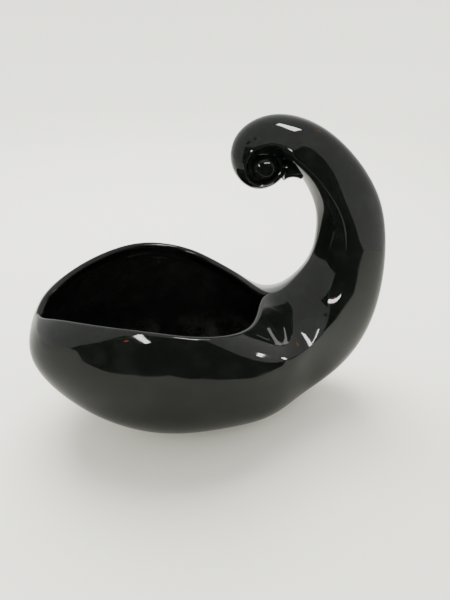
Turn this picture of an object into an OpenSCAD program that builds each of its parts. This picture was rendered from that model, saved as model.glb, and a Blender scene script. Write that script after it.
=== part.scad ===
// A horn-shaped ceramic bowl: a leaf-shaped mouth whose narrow end closes into a hollow tail,
// which sweeps up and back over the bowl and rolls into a solid scroll. A thin web closes the
// scroll's eye, with a domed button on each side of it.
// Origin: middle of the foot pad, on the table. +X from the mouth's tip to the tail, +Z up.

/* [Overall] */
// Length of the bowl along X, from the nose to the back of the tail
overall_length = 160; // [110:1:240]
// Width of the mouth compared with the drawn one
width_factor = 1; // [0.85:0.01:1.15]

/* [Clay] */
// Thickness of the cast wall and of the rounded rim
wall = 3; // [2:0.1:3.6]
// How much of the cavity's last span is taken by its rounded end, in spans
cavity_end = 1; // [0.5:0.1:2]

/* [Foot] */
// Height of the foot pad, and of the flat under the belly
foot_height = 2.5; // [2:0.1:3]
// Diameter of the foot pad
foot_diameter = 30; // [20:1:30]
// Rounding of the pad's lower edge
foot_edge = 0.8; // [0.2:0.1:1.5]

/* [Scroll eye] */
// Thickness of the clay web that closes the scroll's eye
web_thickness = 5; // [3:0.2:6]
// Diameter of the button on each side of the web
button_diameter = 10; // [8:0.1:10]
// Height of a button's straight side above the web
button_side = 2; // [1:0.1:3]
// Height of the dome on a button
button_dome = 2.4; // [1:0.1:4]

/* [Bridge] */
// Half thickness of the clay bridge that ties the scroll to the tail, at its waist
bridge_waist = 3.8; // [3:0.1:4]
// How much thicker the bridge grows at its ends
bridge_flare = 1; // [0.2:0.1:1.2]

/* [Fineness] */
// Cross sections between two ribs
steps = 5; // [3:1:5]
// Points around a cross section, an even number
around = 36; // [24:2:36]
// Flats across the rounded rim
lip_steps = 4; // [2:1:6]

/* [Hidden] */
$fn = 64;

// The ribs below are drawn for this length.
drawn_length = 160;
size = overall_length / drawn_length;
// The eye of the scroll: x, z.
eye = [15, 115];

// Bowl ribs, from the nose to the throat: rim x, rim z, half mouth, tilt,
// drop from rim to the widest level, depth below it, half width, crown fullness.
bowl_ribs = [
    [-81, 57.5, 0, -122, 0, 0, 0, 2.3],
    [-79, 60, 8, -120, 3, 8, 11, 2.3],
    [-73, 63.5, 16, -116, 6, 20, 21.5, 2.3],
    [-61.5, 66.5, 27, -111, 8, 33, 32, 2.3],
    [-46.5, 68, 37, -106, 9.5, 45.5, 41, 2.3],
    [-29, 67, 44, -100, 10, 54, 46.5, 2.3],
    [-12, 63, 43, -95, 9, 54, 46, 2.2],
    [2, 58.5, 33.5, -90, 9.5, 49.5, 42.5, 2],
    [13, 56.5, 17.5, -84, 12, 45, 37, 1.6]
];
// Share of the widest level at which the rim leaves the nose.
nose_mouth = 0.72;
// Fullness of a section's quarter: 2 is an ellipse, more is squarer, less is more pointed.
belly_power = 2.7;

// Tail ribs, from the throat upwards, each about its widest level: x, z, tilt, depth to the
// inner side, depth to the back, half width, fullness of the inner side and of its shoulders.
tail_ribs = [
    [25, 43, -74, 12.5, 39.8, 31, 1.2, 1.1],
    [36, 46.5, -61, 14.5, 37.4, 25.5, 1.3, 1.15],
    [44, 55.6, -43, 13.5, 33, 21.2, 1.3, 1.15],
    [49.1, 66.7, -25, 11.5, 26, 18.2, 1.3, 1.25],
    [50.6, 78.8, -8, 10, 21.8, 16.8, 1.4, 1.4],
    [49.1, 91.5, 10, 8.5, 19.3, 15.5, 1.5, 1.7],
    [43.2, 102.8, 29, 6.5, 17.4, 14, 1.6, 2],
    [34.5, 112.6, 48, 4.5, 16, 12.5, 1.8, 2],
    [26.4, 119.7, 57, 3.9, 13.8, 11.6, 1.9, 2]
];

// Scroll ribs about the eye: turn angle, outer radius, inner radius, depth from the widest
// level to the inner side, half width.
scroll_ribs = [
    [68, 20.6, 7.6, 3.5, 10.6],
    [104, 17.4, 7, 3.4, 9],
    [136, 15.3, 6.8, 3.2, 7.8],
    [170, 12.8, 6.4, 2.8, 6.8],
    [210, 10.7, 6, 2.4, 6],
    [255, 9.7, 5.4, 2.4, 5.3],
    [305, 9.4, 5, 2.6, 4.9],
    [350, 10, 4.9, 2.5, 4.4],
    [395, 7.8, 4.9, 1.45, 3.6],
    [435, 6.4, 5, 0.7, 2.4]
];
// Fullness of the tail's flanks and back.
flank_power = 1.3;
back_power = 2.4;
// Fullness of the scroll's inner side, flanks and back.
roll_crown_power = 2;
roll_flank_power = 1.2;
roll_back_power = 1.9;

// The web reaches into the turns all round.
web_radius = 8.6;
// Ends of the bridge, from inside the scroll's ring to inside the tail: x, z.
bridge_from = [24, 113];
bridge_to = [31, 113];
bridge_steps = 8;
bridge_sides = 24;
web_sides = 48;
dome_steps = 12;
corner_step = 15;

// Share of a section's points that lie from its top to its widest level, on each side.
crown_share = 0.22;
crown_points = round(around * crown_share);
throat = len(bowl_ribs) * steps;
// The scroll butts on the tail this many ribs past the throat.
tail_spans = 6.4;
scroll_start = throat + round(tail_spans * steps);
cavity_tip = scroll_start - steps;
cavity_round = cavity_tip - round(cavity_end * steps);
scroll_end = (len(bowl_ribs) + len(tail_ribs) + len(scroll_ribs) - 1) * steps;

// Each rib as one row: x and z of its widest level, tilt, depth inwards, depth outwards, half
// width, mouth angle, then the fullness of inner side, shoulders, flanks and back.
// A mouth angle above 0 leaves the top open.
function mouth_angle(share, power) = asin(pow(min(1, share), power / 2));
function bowl_row(r) =
    let (
        drop = r[4],
        power = r[7],
        angle = mouth_angle(r[6] > 0 ? r[2] / r[6] : nose_mouth, power)
    )
    [
        r[0] + drop * cos(r[3]), r[1] + drop * sin(r[3]), r[3],
        drop / pow(cos(angle), 2 / power), r[5], r[6], angle,
        power, power, belly_power, belly_power
    ];
function tail_row(r) = [r[0], r[1], r[2], r[3], r[4], r[5], 0, r[6], r[7], flank_power, back_power];
function scroll_row(r) =
    let (level = r[2] + r[3])
    [
        eye[0] + level * cos(r[0]), eye[1] + level * sin(r[0]), r[0],
        r[3], r[1] - level, r[4], 0,
        roll_crown_power, roll_crown_power, roll_flank_power, roll_back_power
    ];

rows = concat(
    [for (r = bowl_ribs) bowl_row(r)],
    [for (r = tail_ribs) tail_row(r)],
    [for (r = scroll_ribs) scroll_row(r)]
);
last_row = len(rows) - 1;

// The row before the nose mirrors the row after it, so that the nose closes round.
function mirrored(r) = [for (k = [0:len(r) - 1]) k >= 3 && k <= 5 ? -r[k] : r[k]];
function row_at(i) =
    i < 0 ? mirrored(rows[1])
    : i > last_row ? 2 * rows[last_row] - rows[last_row - 1]
    : rows[i];
function blend(a, b, c, d, t) =
    b + t * (c - a) / 2
    + t * t * (a - 2.5 * b + 2 * c - d / 2)
    + t * t * t * (1.5 * b - a / 2 - 1.5 * c + d / 2);
function rib_at(i) =
    let (k = min(floor(i / steps), last_row - 1))
    blend(row_at(k - 1), row_at(k), row_at(k + 1), row_at(k + 2), i / steps - k);

// One cross section: around + 1 points, from the far rim under the belly to the near rim.
function bulge(v, power) = sign(v) * pow(abs(v), 2 / power);
function placed(x, y, z) = [size * x, size * width_factor * y, max(size * z, foot_height)];
function turn(j, open) =
    j < crown_points ? open + (90 - open) * j / crown_points
    : j > around - crown_points ? 360 - turn(around - j, open)
    : 90 + 180 * (j - crown_points) / (around - 2 * crown_points);
function section(r) =
    let (open = max(r[6], 0))
    [
        for (j = [0:around])
        let (
            angle = turn(j, open),
            crown = cos(angle) > 0,
            side = crown ? r[8] : r[9],
            end = crown ? r[7] : r[10],
            power = side + (end - side) * pow(cos(angle), 2),
            reach = -(crown ? r[3] : r[4]) * bulge(cos(angle), power)
        )
        placed(r[0] + reach * cos(r[2]), r[5] * bulge(sin(angle), power), r[1] + reach * sin(r[2]))
    ];
ribs = [for (i = [0:scroll_end]) rib_at(i)];
skin = [for (r = ribs) section(r)];
// The point half way through a section, from its inner side to its back.
function middle(i) =
    let (r = ribs[i], shift = (r[4] - r[3]) / 2)
    placed(r[0] + shift * cos(r[2]), 0, r[1] + shift * sin(r[2]));

// Outward normals of the skin, level with the section at the throat, where two pieces butt.
function unit(v) = v / max(norm(v), 1e-9);
function before(i, j) = i < throat ? max(j - 1, 0) : (j + around - 1) % around;
function after(i, j) = i < throat ? min(j + 1, around) : (j + 1) % around;
function raw_normal(i, j) =
    i == 0
        ? cross(skin[1][around / 2] - skin[0][0], [0, -1, 0])
        : cross(skin[i + 1][j] - skin[i - 1][j], skin[i][after(i, j)] - skin[i][before(i, j)]);
function in_section(v, tilt) =
    let (depth = [cos(tilt), 0, sin(tilt)])
    v * depth * depth + [0, v[1], 0];
function normal(i, j) =
    let (n = raw_normal(i, j))
    unit(i == throat ? in_section(n, ribs[i][2]) : n);

// The cavity follows the skin one wall further in, and closes in a rounded end inside the tail.
function closing(i) =
    let (share = max(0, i - cavity_round) / (cavity_tip - cavity_round))
    1 - sqrt(max(0, 1 - share * share));
function inside(i, j) =
    let (p = skin[i][j] - wall * normal(i, j))
    p + (middle(i) - p) * closing(i);

function flat(lists) = [for (l = lists) for (v = l) v];
function quad(a, b, c, d) = [[a, b, c], [a, c, d]];

// The rim runs from the throat along the far edge, round the nose and back along the near edge.
rim_count = 2 * throat;
function rim_row(k) = abs(throat - k);
function rim_column(k) = k <= throat ? 0 : around;
function rim_outer(k) = skin[rim_row(k)][rim_column(k)];
function lip(k) =
    let (
        n = normal(rim_row(k), rim_column(k)),
        outer = rim_outer(k),
        inner = inside(rim_row(k), rim_column(k)),
        along = rim_outer((k + 1) % rim_count) - rim_outer((k + rim_count - 1) % rim_count),
        proud = norm(outer - inner) / 2 * unit(cross(n, along))
    )
    [
        for (s = [1:lip_steps - 1])
        let (a = 180 * s / lip_steps)
        (outer + inner) / 2 + (outer - inner) / 2 * cos(a) + proud * sin(a)
    ];

module bowl() {
    columns = around + 1;
    inner_base = (throat + 1) * columns;
    lip_base = 2 * inner_base;
    // The nose is one point, and the throat's section closes on itself.
    function at(base, i, j) = base + (i == 0 ? 0 : i * columns + (i == throat ? j % around : j));
    function rim_id(k, s) =
        s == 0 ? at(0, rim_row(k), rim_column(k))
        : s == lip_steps ? at(inner_base, rim_row(k), rim_column(k))
        : lip_base + (k % rim_count) * (lip_steps - 1) + s - 1;
    points = concat(
        flat([for (i = [0:throat]) skin[i]]),
        [for (i = [0:throat], j = [0:around]) inside(i, j)],
        flat([for (k = [0:rim_count - 1]) lip(k)])
    );
    tip_faces = [for (j = [0:around - 1]) each [
        [at(0, 0, 0), at(0, 1, j + 1), at(0, 1, j)],
        [at(inner_base, 0, 0), at(inner_base, 1, j), at(inner_base, 1, j + 1)]
    ]];
    function wall_quad(base, i, j) = quad(
        at(base, i, j), at(base, i, j + 1), at(base, i + 1, j + 1), at(base, i + 1, j)
    );
    function flipped(faces) = [for (f = faces) [f[2], f[1], f[0]]];
    wall_faces = [for (i = [1:throat - 1], j = [0:around - 1]) each concat(
        wall_quad(0, i, j), flipped(wall_quad(inner_base, i, j))
    )];
    throat_faces = [for (j = [0:around - 1]) each quad(
        at(0, throat, j), at(0, throat, j + 1),
        at(inner_base, throat, j + 1), at(inner_base, throat, j)
    )];
    function lip_quad(k, s, next) = quad(
        rim_id(k, s), rim_id(k, s + 1), rim_id(next, s + 1), rim_id(next, s)
    );
    lip_faces = [
        for (k = [0:rim_count - 1], s = [0:lip_steps - 1])
        each lip_quad(k, s, (k + 1) % rim_count)
    ];
    color([0.07, 0.08, 0.07])
        polyhedron(points, concat(tip_faces, wall_faces, throat_faces, lip_faces), convexity = 6);
}

module tail() {
    skin_rows = scroll_start - throat;
    cavity_rows = cavity_tip - throat;
    cavity_base = (skin_rows + 1) * around;
    cavity_last = cavity_base + cavity_rows * around;
    end_middle = cavity_last + 1;
    function on_skin(i, j) = i * around + j % around;
    function in_cavity(i, j) = i == cavity_rows ? cavity_last : cavity_base + i * around + j % around;
    points = concat(
        [for (i = [0:skin_rows], j = [0:around - 1]) skin[throat + i][j]],
        [for (i = [0:cavity_rows - 1], j = [0:around - 1]) inside(throat + i, j)],
        [middle(cavity_tip), middle(scroll_start)]
    );
    skin_faces = [for (i = [0:skin_rows - 1], j = [0:around - 1]) each quad(
        on_skin(i, j), on_skin(i, j + 1), on_skin(i + 1, j + 1), on_skin(i + 1, j)
    )];
    cavity_faces = [for (i = [0:cavity_rows - 2], j = [0:around - 1]) each quad(
        in_cavity(i, j), in_cavity(i + 1, j), in_cavity(i + 1, j + 1), in_cavity(i, j + 1)
    )];
    end_faces = [for (j = [0:around - 1]) each [
        [in_cavity(cavity_rows - 1, j), cavity_last, in_cavity(cavity_rows - 1, j + 1)],
        [on_skin(skin_rows, j), on_skin(skin_rows, j + 1), end_middle]
    ]];
    throat_faces = [for (j = [0:around - 1]) each quad(
        on_skin(0, j), in_cavity(0, j), in_cavity(0, j + 1), on_skin(0, j + 1)
    )];
    color([0.1, 0.11, 0.1])
        polyhedron(points, concat(skin_faces, cavity_faces, end_faces, throat_faces), convexity = 6);
}

module scroll() {
    skin_rows = scroll_end - scroll_start;
    start_middle = (skin_rows + 1) * around;
    function on_skin(i, j) = i * around + j % around;
    points = concat(
        [for (i = [0:skin_rows], j = [0:around - 1]) skin[scroll_start + i][j]],
        [middle(scroll_start), middle(scroll_end)]
    );
    skin_faces = [for (i = [0:skin_rows - 1], j = [0:around - 1]) each quad(
        on_skin(i, j), on_skin(i, j + 1), on_skin(i + 1, j + 1), on_skin(i + 1, j)
    )];
    end_faces = [for (j = [0:around - 1]) each [
        [on_skin(0, j + 1), on_skin(0, j), start_middle],
        [on_skin(skin_rows, j), on_skin(skin_rows, j + 1), start_middle + 1]
    ]];
    color([0.13, 0.14, 0.13]) {
        polyhedron(points, concat(skin_faces, end_faces), convexity = 8);
        at_eye()
            cylinder(r = size * web_radius, h = size * web_thickness, center = true, $fn = web_sides);
        for (k = [0:bridge_steps - 1])
            hull() {
                bridge_knot(k / bridge_steps);
                bridge_knot((k + 1) / bridge_steps);
            }
    }
}

// The bridge is waisted: thickest where it runs into the ring and into the tail.
module bridge_knot(t) {
    place = bridge_from + t * (bridge_to - bridge_from);
    radius = bridge_waist + bridge_flare * pow(2 * t - 1, 2);
    translate([size * place[0], 0, size * place[1]])
        sphere(size * radius, $fn = bridge_sides);
}

// The eye's axis runs along Y, from the far side to the near side.
module at_eye() {
    translate([size * eye[0], 0, size * eye[1]])
        rotate([90, 0, 0])
            children();
}

// A button on the web: a short straight side under a low dome.
module button() {
    radius = size * button_diameter / 2;
    base = size * web_thickness / 2;
    side = size * button_side;
    dome = size * button_dome;
    sphere_radius = (radius * radius + dome * dome) / (2 * dome);
    half_angle = asin(radius / sphere_radius);
    centre = base + side + dome - sphere_radius;
    color([0.16, 0.17, 0.16])
        rotate_extrude()
            polygon(concat(
                [[0, base], [radius, base]],
                [
                    for (s = [dome_steps:-1:0])
                    let (a = half_angle * s / dome_steps)
                    [sphere_radius * sin(a), centre + sphere_radius * cos(a)]
                ]
            ));
}
module near_button() { at_eye() button(); }
module far_button() { at_eye() mirror([0, 0, 1]) button(); }

// A flat pad of bare clay on which the bowl stands.
module foot_pad() {
    radius = foot_diameter / 2;
    arc = [
        for (a = [0:corner_step:90])
        [radius - foot_edge + foot_edge * sin(a), foot_edge - foot_edge * cos(a)]
    ];
    color([0.45, 0.27, 0.18])
        rotate_extrude()
            polygon(concat([[0, foot_height], [0, 0]], arc, [[radius, foot_height]]));
}

bowl();
tail();
scroll();
near_button();
far_button();
foot_pad();
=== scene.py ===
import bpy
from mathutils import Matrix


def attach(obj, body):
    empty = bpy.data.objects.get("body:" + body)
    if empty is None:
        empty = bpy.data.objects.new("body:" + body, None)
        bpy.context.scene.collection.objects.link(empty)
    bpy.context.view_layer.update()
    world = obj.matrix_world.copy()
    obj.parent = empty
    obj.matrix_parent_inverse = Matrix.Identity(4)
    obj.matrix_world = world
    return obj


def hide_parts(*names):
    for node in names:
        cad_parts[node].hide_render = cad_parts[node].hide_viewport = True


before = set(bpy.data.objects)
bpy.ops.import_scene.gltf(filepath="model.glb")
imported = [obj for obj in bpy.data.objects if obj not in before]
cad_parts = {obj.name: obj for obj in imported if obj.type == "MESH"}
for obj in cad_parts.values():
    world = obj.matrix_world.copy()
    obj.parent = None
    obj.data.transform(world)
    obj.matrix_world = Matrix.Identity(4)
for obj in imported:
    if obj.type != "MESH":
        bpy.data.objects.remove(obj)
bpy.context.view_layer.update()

import math

import bpy
import numpy as np
from mathutils import Vector

MM = 0.001

# ---------------------------------------------------------------- the bowl's form, in millimetres

# The eye of the scroll: x, z.
EYE = (15.0, 115.0)

# Bowl ribs from the nose to the throat: rim x, rim z, half mouth, tilt, drop from the rim
# to the widest level, depth below it, half width, crown fullness.
BOWL_RIBS = (
    (-81, 57.5, 0, -122, 0, 0, 0, 2.3),
    (-79, 60, 8, -120, 3, 8, 11, 2.3),
    (-73, 63.5, 16, -116, 6, 20, 21.5, 2.3),
    (-61.5, 66.5, 27, -111, 8, 33, 32, 2.3),
    (-46.5, 68, 37, -106, 9.5, 45.5, 41, 2.3),
    (-29, 67, 44, -100, 10, 54, 46.5, 2.3),
    (-12, 63, 43, -95, 9, 54, 46, 2.2),
    (2, 58.5, 33.5, -90, 9.5, 49.5, 42.5, 2),
    (13, 56.5, 17.5, -84, 12, 45, 37, 1.6),
)
# Share of the widest level at which the rim leaves the nose.
NOSE_MOUTH = 0.72
# Fullness of a section's quarter: 2 is an ellipse, more is squarer, less is more pointed.
BELLY_POWER = 2.7

# Tail ribs from the throat upwards, each about its widest level: x, z, tilt, depth to the
# inner side, depth to the back, half width, fullness of the inner side and of its shoulders.
TAIL_RIBS = (
    (25, 43, -74, 12.5, 39.8, 31, 1.2, 1.1),
    (36, 46.5, -61, 14.5, 37.4, 25.5, 1.3, 1.15),
    (44, 55.6, -43, 13.5, 33, 21.2, 1.3, 1.15),
    (49.1, 66.7, -25, 11.5, 26, 18.2, 1.3, 1.25),
    (50.6, 78.8, -8, 10, 21.8, 16.8, 1.4, 1.4),
    (49.1, 91.5, 10, 8.5, 19.3, 15.5, 1.5, 1.7),
    (43.2, 102.8, 29, 6.5, 17.4, 14, 1.6, 2),
    (34.5, 112.6, 48, 4.5, 16, 12.5, 1.8, 2),
    (26.4, 119.7, 57, 3.9, 13.8, 11.6, 1.9, 2),
)
# Fullness of the tail's flanks and of its back.
FLANK_POWER = 1.3
BACK_POWER = 2.4

# Scroll ribs about the eye: turn angle, outer radius, inner radius, depth from the widest
# level to the inner side, half width.
SCROLL_RIBS = (
    (68, 20.6, 7.6, 3.5, 10.6),
    (104, 17.4, 7, 3.4, 9),
    (136, 15.3, 6.8, 3.2, 7.8),
    (170, 12.8, 6.4, 2.8, 6.8),
    (210, 10.7, 6, 2.4, 6),
    (255, 9.7, 5.4, 2.4, 5.3),
    (305, 9.4, 5, 2.6, 4.9),
    (350, 10, 4.9, 2.5, 4.4),
    (395, 7.8, 4.9, 1.45, 3.6),
    (435, 6.4, 5, 0.7, 2.4),
)
# Fullness of the roll's inner side, of its flanks and of its back.
ROLL_CROWN_POWER = 2
ROLL_FLANK_POWER = 1.2
ROLL_BACK_POWER = 1.9

WALL = 3.0
# Softness of the edge where the belly is pressed flat over the foot.
PRESSED_EDGE = 0.8
FOOT_HEIGHT = 2.5
FOOT_DIAMETER = 30
FOOT_EDGE = 0.8

# The web that closes the scroll's eye: its radius, its thickness and its bevelled edge.
WEB_RADIUS = 8.6
WEB_THICKNESS = 5
WEB_BEVEL = 1
WEB_EDGE_SHARE = 0.6

# A button: its diameter, its straight side above the web, and the dome on it. The shares
# below 1 square up the quarter circle of its outline.
BUTTON_DIAMETER = 10
BUTTON_SIDE = 2
BUTTON_DOME = 2.4
BUTTON_ACROSS_POWER = 0.75
BUTTON_UP_POWER = 0.85

# The bridge from the scroll to the tail: its ends as x, z, half its thickness at the waist,
# and how much thicker it is at the ends.
BRIDGE_FROM = (24, 113)
BRIDGE_TO = (31, 113)
BRIDGE_WAIST = 3.8
BRIDGE_FLARE = 1
BRIDGE_RINGS = 25
BRIDGE_AROUND = 48

# Fineness: rows from rib to rib, points round a section and on each side of its crown,
# strips across the rim and the coil's end, and points round whatever is turned.
STEPS = 12
AROUND = 120
CROWN = 26
LIP_STEPS = 10
END_STEPS = 6
TURNED = 96

# How far the coil's inner end bulges.
END_ROUND = 1.2
# How far the ironing of the rows reaches, in ribs.
IRONING = 0.45
# How far the skin is taken in, so that it stays inside the CAD model's box.
SHAVE = 0.08

# Row numbers: where the tail begins, where the scroll begins, and where the cavity ends
# and begins to close.
THROAT = len(BOWL_RIBS) * STEPS
SCROLL_START = THROAT + round((len(TAIL_RIBS) - 2.6) * STEPS)
CAVITY_TIP = SCROLL_START - STEPS
CAVITY_ROUND = CAVITY_TIP - STEPS
SCROLL_END = (len(BOWL_RIBS) + len(TAIL_RIBS) + len(SCROLL_RIBS) - 1) * STEPS


def mouth_angle(share, power):
    """The angle on a section at which its width is this share of the widest."""
    return math.degrees(math.asin(min(1.0, share) ** (power / 2)))


# The next three functions each turn a rib into a row: x and z of its widest level, tilt, depth
# to the inner side and to the back, half width, angle of the mouth, and the fullness of the
# inner side, the shoulders, the flanks and the back.
def bowl_row(x, z, mouth, tilt, drop, depth, width, power):
    angle = mouth_angle(mouth / width if width else NOSE_MOUTH, power)
    lean = math.radians(tilt)
    inwards = drop / math.cos(math.radians(angle)) ** (2 / power)
    return (
        x + drop * math.cos(lean), z + drop * math.sin(lean), tilt,
        inwards, depth, width, angle, power, power, BELLY_POWER, BELLY_POWER,
    )


def tail_row(x, z, tilt, inwards, outwards, width, power, shoulder):
    return (x, z, tilt, inwards, outwards, width, 0, power, shoulder, FLANK_POWER, BACK_POWER)


def scroll_row(angle, outer, inner, inwards, width):
    level, turn = inner + inwards, math.radians(angle)
    return (
        EYE[0] + level * math.cos(turn), EYE[1] + level * math.sin(turn), angle,
        inwards, outer - level, width, 0,
        ROLL_CROWN_POWER, ROLL_CROWN_POWER, ROLL_FLANK_POWER, ROLL_BACK_POWER,
    )


def smooth_rows():
    """Every rib and the rows between them: one natural cubic spline through each column.

    Two mirrored rows before the nose make it close round.
    """
    rows = np.array(
        [bowl_row(*rib) for rib in BOWL_RIBS]
        + [tail_row(*rib) for rib in TAIL_RIBS]
        + [scroll_row(*rib) for rib in SCROLL_RIBS]
    )
    mirror = np.array([1, 1, 1, -1, -1, -1, 1, 1, 1, 1, 1])
    knots = np.concatenate([rows[2:0:-1] * mirror, rows])
    n = len(knots)
    system = np.zeros((n, n))
    right = np.zeros_like(knots)
    system[0, 0] = system[-1, -1] = 1
    for i in range(1, n - 1):
        system[i, i - 1:i + 2] = (1, 4, 1)
        right[i] = 6 * (knots[i - 1] - 2 * knots[i] + knots[i + 1])
    bend = np.linalg.solve(system, right)
    place = np.arange(SCROLL_END + 1) / STEPS + 2
    k = np.minimum(place.astype(int), n - 2)
    t = (place - k)[:, None]
    a, b = knots[k], knots[k + 1]
    curve = ((1 - t) ** 3 - (1 - t)) * bend[k] / 6 + (t**3 - t) * bend[k + 1] / 6
    return ironed(a * (1 - t) + b * t + curve, mirror)


def ironed(rows, mirror):
    """The same rows with the last unevenness between the ribs taken out, as a hand would."""
    reach = 2 * STEPS
    weight = np.exp(-0.5 * (np.arange(-reach, reach + 1) / (IRONING * STEPS)) ** 2)
    weight /= weight.sum()
    long = np.concatenate([rows[reach:0:-1] * mirror, rows, 2 * rows[-1] - rows[-2:-reach - 2:-1]])
    soft = np.stack([np.convolve(column, weight, "valid") for column in long.T], -1)
    # The scroll's tight turns keep their ribs.
    share = np.clip((SCROLL_START - np.arange(len(rows))) / (2 * STEPS), 0, 1)[:, None]
    return rows + (soft - rows) * share


def bulge(v, power):
    """A sine or cosine made fuller: 2 leaves it, more makes the section squarer."""
    return np.sign(v) * np.abs(v) ** (2 / power)


def section_angles(opening):
    """Angles round one section, from the far rim under the belly to the near rim."""
    j = np.arange(AROUND + 1)
    far = opening + (90 - opening) * j / CROWN
    near = 360 - (opening + (90 - opening) * (AROUND - j) / CROWN)
    back = 90 + 180 * (j - CROWN) / (AROUND - 2 * CROWN)
    return np.where(j < CROWN, far, np.where(j > AROUND - CROWN, near, back))


def base_skin(rows):
    """The outer surface as a grid of points: rows along the horn, columns round it."""
    grid = []
    for x, z, tilt, inwards, outwards, width, opening, *powers in rows:
        angle = np.radians(section_angles(max(opening, 0)))
        crown = np.cos(angle) > 0
        side, end = np.where(crown, powers[1], powers[2]), np.where(crown, powers[0], powers[3])
        fullness = side + (end - side) * np.cos(angle) ** 2
        reach = -np.where(crown, inwards, outwards) * bulge(np.cos(angle), fullness)
        lean = math.radians(tilt)
        grid.append(np.stack([
            x + reach * math.cos(lean), width * bulge(np.sin(angle), fullness), z + reach * math.sin(lean)
        ], -1))
    skin = np.array(grid)
    # The belly is pressed flat over the foot, with a soft edge.
    level = skin[..., 2] - FOOT_HEIGHT
    skin[..., 2] = FOOT_HEIGHT + (level + np.sqrt(level**2 + PRESSED_EDGE**2)) / 2
    return skin


def unit(v):
    return v / np.maximum(np.linalg.norm(v, axis=-1, keepdims=True), 1e-9)


def skin_normals(skin):
    """Outward normals. Past the throat a section is closed, so its first and last points agree."""
    along = np.gradient(skin, axis=0)
    round_it = np.gradient(skin, axis=1)
    wrap = (skin[:, 1] - skin[:, -2]) / 2
    round_it[THROAT:, 0] = wrap[THROAT:]
    round_it[THROAT:, -1] = wrap[THROAT:]
    normals = unit(np.cross(along, round_it))
    nose = np.cross(skin[1, AROUND // 2] - skin[0, 0], (0, -1, 0))
    normals[0] = nose / np.linalg.norm(nose)
    return normals


def outer_skin():
    """The rows, and the outer surface that they give, taken in a little."""
    rows = smooth_rows()
    rows[THROAT:, 6] = 0
    skin = base_skin(rows)
    return rows, skin - SHAVE * skin_normals(skin)


def section_middles(rows):
    """The point half way through each section, from the inner side to the back."""
    shift, lean = (rows[:, 4] - rows[:, 3]) / 2, np.radians(rows[:, 2])
    return np.stack([rows[:, 0] + shift * np.cos(lean), 0 * shift, rows[:, 1] + shift * np.sin(lean)], -1)


def closing(i):
    """How far the cavity has closed towards its middle, 0 in the bowl, 1 at its tip."""
    share = np.clip((i - CAVITY_ROUND) / (CAVITY_TIP - CAVITY_ROUND), 0, 1)
    return 1 - math.sqrt(1 - share**2)


def cavity(rows, skin, normals, middle):
    """The inner surface, one wall further in, up to the cavity's tip."""
    depth = normals[:CAVITY_TIP + 1].copy()
    lean = math.radians(rows[THROAT, 2])
    across = np.array([math.cos(lean), 0, math.sin(lean)])
    flat = depth[THROAT] @ across
    depth[THROAT] = unit(flat[:, None] * across + depth[THROAT] * (0, 1, 0))
    inner = skin[:CAVITY_TIP + 1] - WALL * depth
    for i in range(CAVITY_ROUND, CAVITY_TIP + 1):
        inner[i] += (middle[i] - inner[i]) * closing(i)
    return inner


class Form:
    """A mesh under construction: points with their normals, and the faces between them."""

    def __init__(self):
        self.points, self.normals, self.inside, self.faces, self.count = [], [], [], [], 0

    def add(self, points, normals, inside=0.0):
        """Adds a grid of points and returns the grid of their numbers."""
        shape = points.shape[:-1]
        self.inside.append(np.full(points.size // 3, float(inside)))
        self.points.append(points.reshape(-1, 3))
        self.normals.append(np.broadcast_to(normals, points.shape).reshape(-1, 3))
        first = self.count
        self.count += len(self.points[-1])
        return np.arange(first, self.count).reshape(shape)

    def cover(self, numbers, flip=False):
        """Quads over a grid of point numbers. A repeated corner makes a triangle."""
        quads = np.stack([numbers[:-1, :-1], numbers[1:, :-1], numbers[1:, 1:], numbers[:-1, 1:]], -1)
        if flip:
            quads = quads[..., ::-1]
        for quad in quads.reshape(-1, 4).tolist():
            face = [v for k, v in enumerate(quad) if v != quad[k - 1]]
            if len(face) > 2:
                self.faces.append(face)

    def fan(self, centre, loop, flip=False):
        """Triangles from one point to a closed loop of points."""
        loop = list(loop)
        for a, b in zip(loop, loop[1:] + loop[:1]):
            self.faces.append([centre, b, a] if flip else [centre, a, b])

    def make(self, name, material, node):
        """The finished piece, which rides on the root and stands for a CAD node."""
        mesh = bpy.data.meshes.new(name)
        mesh.from_pydata((np.concatenate(self.points) * MM).tolist(), [], self.faces)
        mesh.polygons.foreach_set("use_smooth", [True] * len(mesh.polygons))
        mesh.attributes.new("inside", "FLOAT", "POINT").data.foreach_set("value", np.concatenate(self.inside))
        mesh.normals_split_custom_set_from_vertices(unit(np.concatenate(self.normals)).tolist())
        piece = bpy.data.objects.new(name, mesh)
        bpy.context.scene.collection.objects.link(piece)
        mesh.materials.append(material)
        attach(piece, "root")
        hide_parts(node)


def closed(numbers):
    """A grid whose last column is its first again."""
    return np.concatenate([numbers, numbers[:, :1]], 1)


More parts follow.
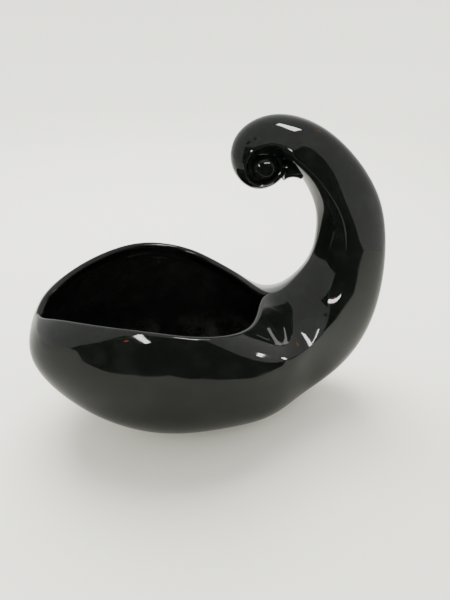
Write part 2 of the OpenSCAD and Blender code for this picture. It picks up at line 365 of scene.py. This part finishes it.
def build_bowl(skin, normals, inner, inner_normals, material):
    """The open shell, from the nose to the throat, with its rounded rim."""
    form = Form()
    sides = []
    for points, facing, inside in ((skin, normals, 0), (inner, inner_normals, 1)):
        numbers = form.add(points[:THROAT + 1], facing[:THROAT + 1], inside)
        numbers[0] = numbers[0, 0]
        numbers[THROAT, AROUND] = numbers[THROAT, 0]
        sides.append(numbers)
    out, back = sides
    form.cover(out)
    form.cover(back, flip=True)
    form.cover(np.stack([out[THROAT], back[THROAT]]))

    # The rounded rim, from the throat along the far edge, round the nose and back.
    loop = [(THROAT - k, 0) for k in range(THROAT + 1)] + [(k, AROUND) for k in range(1, THROAT)]
    row, column = np.array(loop).T
    edge, inside, facing = skin[row, column], inner[row, column], normals[row, column]
    along = np.roll(edge, -1, 0) - np.roll(edge, 1, 0)
    proud = unit(np.cross(facing, along))
    half = np.linalg.norm(edge - inside, axis=-1, keepdims=True) / 2
    turn = math.pi * np.arange(1, LIP_STEPS) / LIP_STEPS
    cos, sin = np.cos(turn)[:, None, None], np.sin(turn)[:, None, None]
    ridge = form.add(
        (edge + inside) / 2 + (edge - inside) / 2 * cos + half * proud * sin,
        facing * cos + proud * sin,
    )
    band = np.concatenate([out[row, column][None], ridge, back[row, column][None]])
    form.cover(closed(band), flip=True)
    form.make("glazed_bowl", material, "bowl")


def build_tail(skin, normals, inner, inner_normals, middle, material):
    """The hollow horn. Its cavity ends in a rounded tip, before the scroll."""
    form = Form()
    out = form.add(skin[THROAT:SCROLL_START + 1, :-1], normals[THROAT:SCROLL_START + 1, :-1])
    back = form.add(inner[THROAT:CAVITY_TIP + 1, :-1], inner_normals[THROAT:CAVITY_TIP + 1, :-1])
    back[-1] = back[-1, 0]
    form.cover(closed(out))
    form.cover(closed(back), flip=True)
    form.cover(closed(np.stack([back[0], out[0]])))
    end = form.add(middle[SCROLL_START][None], (0, 0, 1))
    form.fan(int(end[0]), out[-1], flip=True)
    form.make("glazed_tail", material, "tail")


def circle(count):
    """Angles round a whole turn."""
    return 2 * math.pi * np.arange(count) / count


def turned(form, profile, facing, flip=False):
    """A shape turned about the eye's axis, which runs along Y. The profile is radius, y pairs."""
    angle = circle(TURNED)
    ring = np.stack([np.cos(angle), 0 * angle, np.sin(angle)], -1)
    axis = np.array([0, 1, 0])
    centre = np.array([EYE[0], 0, EYE[1]])
    radius, y = profile[:, 0, None, None], profile[:, 1, None, None]
    out, side = facing[:, 0, None, None], facing[:, 1, None, None]
    numbers = form.add(centre + radius * ring + y * axis, out * ring + side * axis)
    for k in (0, -1):
        if profile[k, 0] == 0:
            numbers[k] = numbers[k, 0]
    form.cover(closed(numbers), flip)


def profile_normals(profile):
    along = np.gradient(profile, axis=0)
    return unit(np.stack([along[:, 1], -along[:, 0]], -1))


def build_scroll(skin, normals, rows, middle, material):
    """The solid roll, with the web in its eye and the bridge that ties it to the tail."""
    form = Form()
    out = form.add(skin[SCROLL_START:, :-1], normals[SCROLL_START:, :-1])
    form.cover(closed(out))
    start = form.add(middle[SCROLL_START][None], (0, 0, -1))
    form.fan(int(start[0]), out[0])
    # The coil's inner end is rounded off.
    lean = math.radians(rows[-1, 2] + 90)
    onward = np.array([math.cos(lean), 0, math.sin(lean)])
    last, facing, loop = skin[-1, :-1], normals[-1, :-1], out[-1]
    for k in range(1, END_STEPS + 1):
        turn = math.pi / 2 * k / END_STEPS
        points = middle[-1] + (last - middle[-1]) * math.cos(turn) + onward * END_ROUND * math.sin(turn)
        ring = form.add(points, facing * math.cos(turn) + onward * math.sin(turn))
        if k == END_STEPS:
            ring[:] = ring[0]
        form.cover(closed(np.stack([loop, ring])))
        loop = ring

    # The web that closes the eye, as radius and share of half its thickness.
    flat = WEB_RADIUS - WEB_BEVEL
    half = [(flat, 1), (WEB_RADIUS, WEB_EDGE_SHARE)]
    edge = np.array([(0, -1)] + [(r, -y) for r, y in half] + half[::-1] + [(0, 1)])
    web = edge * (1, WEB_THICKNESS / 2)
    turned(form, web, np.array([(0, -1), (0, -1), (1, 0), (1, 0), (0, 1), (0, 1)]))

    # The bridge between the scroll's ring and the tail, waisted in the middle.
    t = np.linspace(0, 1, BRIDGE_RINGS)[:, None, None]
    angle = circle(BRIDGE_AROUND)
    ring = np.stack([0 * angle, np.cos(angle), np.sin(angle)], -1)
    reach = BRIDGE_TO[0] - BRIDGE_FROM[0]
    radius = BRIDGE_WAIST + BRIDGE_FLARE * (2 * t - 1) ** 2
    slope = BRIDGE_FLARE * 4 * (2 * t - 1) / reach
    knots = np.array([BRIDGE_FROM[0], 0, BRIDGE_FROM[1]]) + t * np.array([reach, 0, 0])
    tube = form.add(knots + radius * ring, unit(ring - slope * np.array([1, 0, 0])))
    form.cover(closed(tube), flip=True)
    for k, way in ((0, -1), (-1, 1)):
        cap = form.add(knots[k], np.array([way, 0, 0]))
        form.fan(int(cap[0]), tube[k], flip=way < 0)
    form.make("glazed_scroll", material, "scroll")


def build_button(name, side, material, node):
    """A domed button on the web, on the side of +Y or -Y."""
    turn = np.linspace(0, math.pi / 2, 33)
    height = BUTTON_SIDE + BUTTON_DOME
    radius = BUTTON_DIAMETER / 2
    profile = np.stack([
        radius * np.cos(turn) ** BUTTON_ACROSS_POWER,
        WEB_THICKNESS / 2 + height * np.sin(turn) ** BUTTON_UP_POWER,
    ], -1)
    profile[-1, 0] = 0
    facing = profile_normals(profile)
    facing[0], facing[-1] = (1, 0), (0, 1)
    profile = np.concatenate([[(0, WEB_THICKNESS / 2)], profile])
    facing = np.concatenate([[(0, -1)], facing])
    form = Form()
    turned(form, profile * (1, side), facing * (1, side), flip=side < 0)
    form.make(name, material, node)


def build_foot(material):
    """The pad of bare clay, turned about Z, with a soft lower edge."""
    form = Form()
    radius, edge = FOOT_DIAMETER / 2, FOOT_EDGE
    turn = np.linspace(0, math.pi / 2, 9)
    arc = np.stack([radius - edge + edge * np.sin(turn), edge - edge * np.cos(turn)], -1)
    across = np.linspace(0, radius - edge, 12)[:-1]
    flat = np.stack([across, 0 * across], -1)
    profile = np.concatenate([flat, arc, [(radius, FOOT_HEIGHT), (0, FOOT_HEIGHT)]])
    facing = np.concatenate([
        np.tile((0, -1), (len(flat), 1)), np.stack([np.sin(turn), -np.cos(turn)], -1), [(1, 0), (0, 1)]
    ])
    angle = circle(TURNED)
    ring = np.stack([np.cos(angle), np.sin(angle), 0 * angle], -1)
    up = np.array([0, 0, 1])
    numbers = form.add(
        profile[:, 0, None, None] * ring + profile[:, 1, None, None] * up,
        facing[:, 0, None, None] * ring + facing[:, 1, None, None] * up,
    )
    numbers[0], numbers[-1] = numbers[0, 0], numbers[-1, 0]
    form.cover(closed(numbers), flip=True)
    form.make("clay_foot", material, "foot_pad")


# ---------------------------------------------------------------- materials

class Nodes:
    """A material's node tree, built up by short calls."""

    def __init__(self, name):
        self.material = bpy.data.materials.new(name)
        self.material.use_nodes = True
        self.tree = self.material.node_tree
        self.tree.nodes.clear()
        self.shader = self.node("ShaderNodeBsdfPrincipled")
        output = self.node("ShaderNodeOutputMaterial")
        self.link(self.shader.outputs["BSDF"], output.inputs["Surface"])
        self.place = self.node("ShaderNodeTexCoord").outputs["Object"]

    def node(self, kind, **values):
        node = self.tree.nodes.new(kind)
        for name, value in values.items():
            setattr(node, name, value)
        return node

    def link(self, out, into):
        self.tree.links.new(out, into)

    def noise(self, size_mm, detail=2.0, roughness=0.5):
        noise = self.node("ShaderNodeTexNoise")
        noise.inputs["Scale"].default_value = 1 / (size_mm * MM)
        noise.inputs["Detail"].default_value = detail
        noise.inputs["Roughness"].default_value = roughness
        self.link(self.place, noise.inputs["Vector"])
        return noise.outputs["Fac"]

    def cells(self, size_mm):
        cells = self.node("ShaderNodeTexVoronoi", feature="F1")
        cells.inputs["Scale"].default_value = 1 / (size_mm * MM)
        self.link(self.place, cells.inputs["Vector"])
        return cells.outputs["Distance"]

    def ramp(self, value, low, high, to_low=0.0, to_high=1.0):
        """A smooth step from one level to the other as the value goes from low to high."""
        ramp = self.node("ShaderNodeMapRange", interpolation_type="SMOOTHSTEP")
        for name, number in (("From Min", low), ("From Max", high), ("To Min", to_low), ("To Max", to_high)):
            ramp.inputs[name].default_value = number
        self.link(value, ramp.inputs["Value"])
        return ramp.outputs["Result"]

    def maths(self, operation, a, b):
        node = self.node("ShaderNodeMath", operation=operation)
        for socket, value in zip(node.inputs, (a, b)):
            if isinstance(value, (int, float)):
                socket.default_value = value
            else:
                self.link(value, socket)
        return node.outputs["Value"]

    def mix(self, amount, colour_a, colour_b):
        mix = self.node("ShaderNodeMix", data_type="RGBA")
        self.link(amount, mix.inputs["Factor"])
        for socket, colour in ((mix.inputs[6], colour_a), (mix.inputs[7], colour_b)):
            if isinstance(colour, tuple):
                socket.default_value = (*colour, 1)
            else:
                self.link(colour, socket)
        return mix.outputs[2]

    def bump(self, height, distance_mm, under=None):
        bump = self.node("ShaderNodeBump")
        bump.inputs["Strength"].default_value = 1
        bump.inputs["Distance"].default_value = distance_mm * MM
        self.link(height, bump.inputs["Height"])
        if under is not None:
            self.link(under, bump.inputs["Normal"])
        return bump.outputs["Normal"]

    def attribute(self, name):
        return self.node("ShaderNodeAttribute", attribute_name=name).outputs["Fac"]


def glaze_material():
    """Poured black glaze: glossy, slightly wavy, with fine peel and a few pinholes."""
    n = Nodes("black_glaze")
    shade = n.mix(n.ramp(n.noise(9, 4, 0.6), 0.45, 0.75), (0.0035, 0.0045, 0.0038), (0.007, 0.0085, 0.0075))
    # Lighter grey cloudy patches inside the bowl, more of them towards its bottom.
    inside = n.attribute("inside")
    height = n.node("ShaderNodeSeparateXYZ")
    n.link(n.place, height.inputs[0])
    low = n.ramp(height.outputs["Z"], 0.030, 0.008)
    cloud = n.maths("MULTIPLY", n.ramp(n.noise(11, 5, 0.65), 0.42, 0.72), n.maths("MULTIPLY", low, inside))
    n.link(n.mix(cloud, shade, (0.045, 0.047, 0.043)), n.shader.inputs["Base Color"])
    n.link(n.ramp(n.noise(14, 3), 0.35, 0.7, 0.035, 0.075), n.shader.inputs["Roughness"])
    n.shader.inputs["IOR"].default_value = 1.36
    waves = n.bump(n.noise(17, 1), 0.12)
    peel = n.bump(n.noise(1.6, 2), 0.003, waves)
    pits = n.bump(n.ramp(n.cells(7), 0.0, 0.03), 0.05, peel)
    n.link(pits, n.shader.inputs["Normal"])
    return n.material


def clay_material():
    """Bare fired clay: matt and mottled, with darker grog."""
    n = Nodes("bare_clay")
    shade = n.mix(n.ramp(n.noise(5, 5, 0.65), 0.3, 0.7), (0.19, 0.095, 0.05), (0.30, 0.17, 0.10))
    grog = n.ramp(n.noise(0.7, 3), 0.62, 0.7)
    n.link(n.mix(grog, shade, (0.10, 0.055, 0.035)), n.shader.inputs["Base Color"])
    n.link(n.ramp(n.noise(2, 4), 0.3, 0.7, 0.72, 0.92), n.shader.inputs["Roughness"])
    n.link(n.bump(n.noise(0.5, 4, 0.7), 0.05), n.shader.inputs["Normal"])
    return n.material


# ---------------------------------------------------------------- making the pieces

rows, skin = outer_skin()
normals = skin_normals(skin)
middle = section_middles(rows)
inner = cavity(rows, skin, normals, middle)
inner_normals = -normals[:CAVITY_TIP + 1]

glaze = glaze_material()
clay = clay_material()
build_bowl(skin, normals, inner, inner_normals, glaze)
build_tail(skin, normals, inner, inner_normals, middle, glaze)
build_scroll(skin, normals, rows, middle, glaze)
build_button("near_eye_button", -1, glaze, "near_button")
build_button("far_eye_button", 1, glaze, "far_button")
build_foot(clay)

# ---------------------------------------------------------------- the stage, light and camera

# All sizes of the stage are in metres.
CLOTH_ROUGHNESS = 0.9
# The sweep: radius of its flat floor, radius of the curve, and height of the wall above it.
SWEEP_FLAT, SWEEP_CURVE, SWEEP_WALL = 0.8, 0.7, 1.2
# The tent that the glaze mirrors: half its width, its rear, its height, the front edge of its
# left wall, and the place of its right wall.
SIDE, REAR, TOP, NEAR, RIGHT = 0.4, 0.5, 0.7, -0.115, 0.3
# The tent's floor lies a hair above the sweep.
FLOOR_LIFT = 0.0002


def cloth_material(name, colour):
    n = Nodes(name)
    n.shader.inputs["Base Color"].default_value = (*colour, 1)
    n.shader.inputs["Roughness"].default_value = CLOTH_ROUGHNESS
    return n


def sweep_material():
    """White cloth. Far from the bowl it glows a little, as cloth lit from behind."""
    n = cloth_material("stage_white", (0.765, 0.765, 0.72))
    n.shader.inputs["Emission Color"].default_value = (1, 0.995, 0.94, 1)
    length = n.node("ShaderNodeVectorMath", operation="LENGTH")
    n.link(n.place, length.inputs[0])
    n.link(n.ramp(length.outputs["Value"], 0.3, 1.0, 0, 0.9), n.shader.inputs["Emission Strength"])
    return n.material


def glow_material(name, colour, strength):
    n = Nodes(name)
    n.shader.inputs["Base Color"].default_value = (0, 0, 0, 1)
    n.shader.inputs["Specular IOR Level"].default_value = 0
    n.shader.inputs["Emission Color"].default_value = (*colour, 1)
    n.shader.inputs["Emission Strength"].default_value = strength
    return n.material


def mirrored_sheet(name, corners, material):
    """A flat sheet of the stage that only the glaze's mirror images show."""
    mesh = bpy.data.meshes.new(name)
    mesh.from_pydata([tuple(c) for c in corners], [], [list(range(len(corners)))])
    sheet = bpy.data.objects.new(name, mesh)
    bpy.context.scene.collection.objects.link(sheet)
    mesh.materials.append(material)
    sheet.visible_camera = False
    sheet.visible_diffuse = False
    sheet.visible_shadow = False


def round_sweep(name, material):
    """A seamless round sweep: the flat floor curves up into a wall. The glaze doesn't mirror it."""
    turn = np.linspace(0, math.pi / 2, 13)[1:]
    floor = np.linspace(0, SWEEP_FLAT, 5)
    rim = SWEEP_FLAT + SWEEP_CURVE
    radius = np.concatenate([floor, SWEEP_FLAT + SWEEP_CURVE * np.sin(turn), [rim]])
    height = np.concatenate([0 * floor, SWEEP_CURVE * (1 - np.cos(turn)), [SWEEP_CURVE + SWEEP_WALL]])
    angle = circle(TURNED)
    ring = np.stack([np.cos(angle), np.sin(angle), 0 * angle], -1)
    points = radius[:, None, None] * ring + height[:, None, None] * np.array([0, 0, 1])
    number = np.arange(len(radius) * TURNED).reshape(-1, TURNED)
    number[0] = 0
    faces = []
    for i in range(len(radius) - 1):
        for j in range(TURNED):
            k = (j + 1) % TURNED
            quad = [number[i, j], number[i + 1, j], number[i + 1, k], number[i, k]]
            faces.append([int(v) for v in (quad if i else quad[:3])])
    mesh = bpy.data.meshes.new(name)
    mesh.from_pydata(points.reshape(-1, 3).tolist(), [], faces)
    mesh.polygons.foreach_set("use_smooth", [True] * len(mesh.polygons))
    sweep = bpy.data.objects.new(name, mesh)
    bpy.context.scene.collection.objects.link(sweep)
    mesh.materials.append(material)
    sweep.visible_glossy = False


round_sweep("sweep", sweep_material())

# The cloth the glaze mirrors: a floor with a bowed front edge, open towards the front.
mirrored_sheet("tent_floor", [(x, y, FLOOR_LIFT) for x, y in (
    (-0.40, -0.10), (-0.25, -0.105), (-0.14, -0.105), (-0.09, -0.115), (-0.04, -0.115),
    (0, -0.10), (0.04, -0.075), (0.08, -0.055), (0.14, -0.06), (0.18, -0.08),
    (0.22, -0.105), (0.30, -0.145), (0.40, -0.16), (0.40, 0.5), (-0.40, 0.5),
)], cloth_material("mirrored_floor", (0.40, 0.40, 0.385)).material)

# The tent's glowing cloth: the dark band on the bowl is the open front that it leaves.
tent = glow_material("tent_cloth", (1, 1, 0.97), 1.2)
for name, corners in (
    ("tent_ceiling", [(-SIDE, -0.5, TOP), (SIDE, -0.5, TOP), (SIDE, REAR, TOP), (-SIDE, REAR, TOP)]),
    ("tent_left", [
        (-SIDE, NEAR, 0), (-SIDE, REAR, 0), (-SIDE, REAR, TOP),
        (-SIDE, -0.42, TOP), (-SIDE, -0.42, 0.51), (-SIDE, -0.24, 0.45), (-SIDE, -0.2, 0.24),
    ]),
    ("tent_right", [
        (RIGHT, -0.145, 0), (RIGHT, REAR, 0), (RIGHT, REAR, TOP), (RIGHT, -0.42, TOP), (RIGHT, -0.38, 0.31),
    ]),
    ("tent_front", [(-SIDE, -0.2, 0.27), (SIDE, -0.2, 0.27), (SIDE, -0.5, TOP), (-SIDE, -0.5, TOP)]),
    ("tent_back", [(-SIDE, REAR, 0), (SIDE, REAR, 0), (SIDE, REAR, TOP), (-SIDE, REAR, TOP)]),
):
    mirrored_sheet(name, corners, tent)

# A small flag of the same cloth, which keeps the right lamp's image off the tail.
mirrored_sheet("tent_flag", [
    (0.12, -0.045, 0.085), (0.12, -0.005, 0.085), (0.12, -0.005, 0.112), (0.12, -0.045, 0.112),
], tent)


def lamp_strip(name, target, azimuth, elevation, distance, length, thickness, roll, material):
    """A glowing strip that faces a spot on the bowl. Azimuth 0 is the front, roll 0 is level."""
    a, e, r = (math.radians(v) for v in (azimuth, elevation, roll))
    way = Vector((math.sin(a) * math.cos(e), -math.cos(a) * math.cos(e), math.sin(e)))
    level = Vector((math.cos(a), math.sin(a), 0))
    rise = Vector((-math.sin(a) * math.sin(e), math.cos(a) * math.sin(e), math.cos(e)))
    along = (level * math.cos(r) + rise * math.sin(r)) * length / 2
    across = (rise * math.cos(r) - level * math.sin(r)) * thickness / 2
    centre = Vector(target) + way * distance
    corners = [centre + along * p + across * q for p, q in ((-1, -1), (1, -1), (1, 1), (-1, 1))]
    mirrored_sheet(name, corners, material)


# The lamps whose strips the glaze mirrors, and two small warm ones.
lamp = glow_material("lamp", (1, 0.99, 0.96), 60)
lamp_strip("lamp_left", (-0.04, -0.042, 0.066), -36, 36, 0.16, 0.075, 0.016, -50, lamp)
lamp_strip("lamp_right", (0.007, -0.038, 0.051), 84, 10, 0.28, 0.045, 0.014, 22, lamp)
lamp_strip("lamp_top", (0.0226, -0.0068, 0.1308), 45, 62, 0.5, 0.28, 0.06, -90, lamp)
lamp_strip("lamp_near", (0.021, -0.0107, 0.1246), 15, 19, 0.06, 0.045, 0.005, -6, lamp)
ember = glow_material("ember", (1, 0.22, 0.05), 10)
lamp_strip("ember_left", (-0.0458, -0.0399, 0.0652), -48, 32, 0.3, 0.014, 0.02, 0, ember)
lamp_strip("ember_right", (0.0249, -0.0265, 0.0462), 96, 54, 0.25, 0.012, 0.012, 0, ember)

# The one real lamp, above and behind the bowl, which casts its shadow forwards.
above = bpy.data.lights.new("light_above", "AREA")
above.energy = 12
above.size = 0.5
above.color = (1, 0.99, 0.96)
light = bpy.data.objects.new("light_above", above)
light.location = (-0.03, 0.25, 0.6)
light.rotation_euler = (math.radians(-22), 0, 0)
light.visible_glossy = False
bpy.context.scene.collection.objects.link(light)

# Even light from all sides, which the glaze mirrors only very faintly.
world = bpy.data.worlds.new("studio")
bpy.context.scene.world = world
world.use_nodes = True
background = world.node_tree.nodes["Background"]
background.inputs["Color"].default_value = (1, 0.99, 0.97, 1)
light_path = world.node_tree.nodes.new("ShaderNodeLightPath")
strength = world.node_tree.nodes.new("ShaderNodeMapRange")
strength.inputs["To Min"].default_value = 0.68
strength.inputs["To Max"].default_value = 0.02
world.node_tree.links.new(light_path.outputs["Is Glossy Ray"], strength.inputs["Value"])
world.node_tree.links.new(strength.outputs["Result"], background.inputs["Strength"])

# The camera looks at a point above the foot, from the front, a little to the left and above.
CAMERA_TARGET = (0, 0, 0.055)
CAMERA_DISTANCE = 0.245
camera_data = bpy.data.cameras.new("camera")
camera_data.lens = 33
camera_data.sensor_width = 36
camera_data.clip_start = 0.01
camera = bpy.data.objects.new("camera", camera_data)
bpy.context.scene.collection.objects.link(camera)
azimuth, elevation = math.radians(-12), math.radians(30)
back = Vector((
    math.sin(azimuth) * math.cos(elevation), -math.cos(azimuth) * math.cos(elevation), math.sin(elevation)
))
camera.location = Vector(CAMERA_TARGET) + back * CAMERA_DISTANCE
camera.rotation_euler = (-back).to_track_quat("-Z", "Y").to_euler()
bpy.context.scene.camera = camera

bpy.context.view_layer.update()
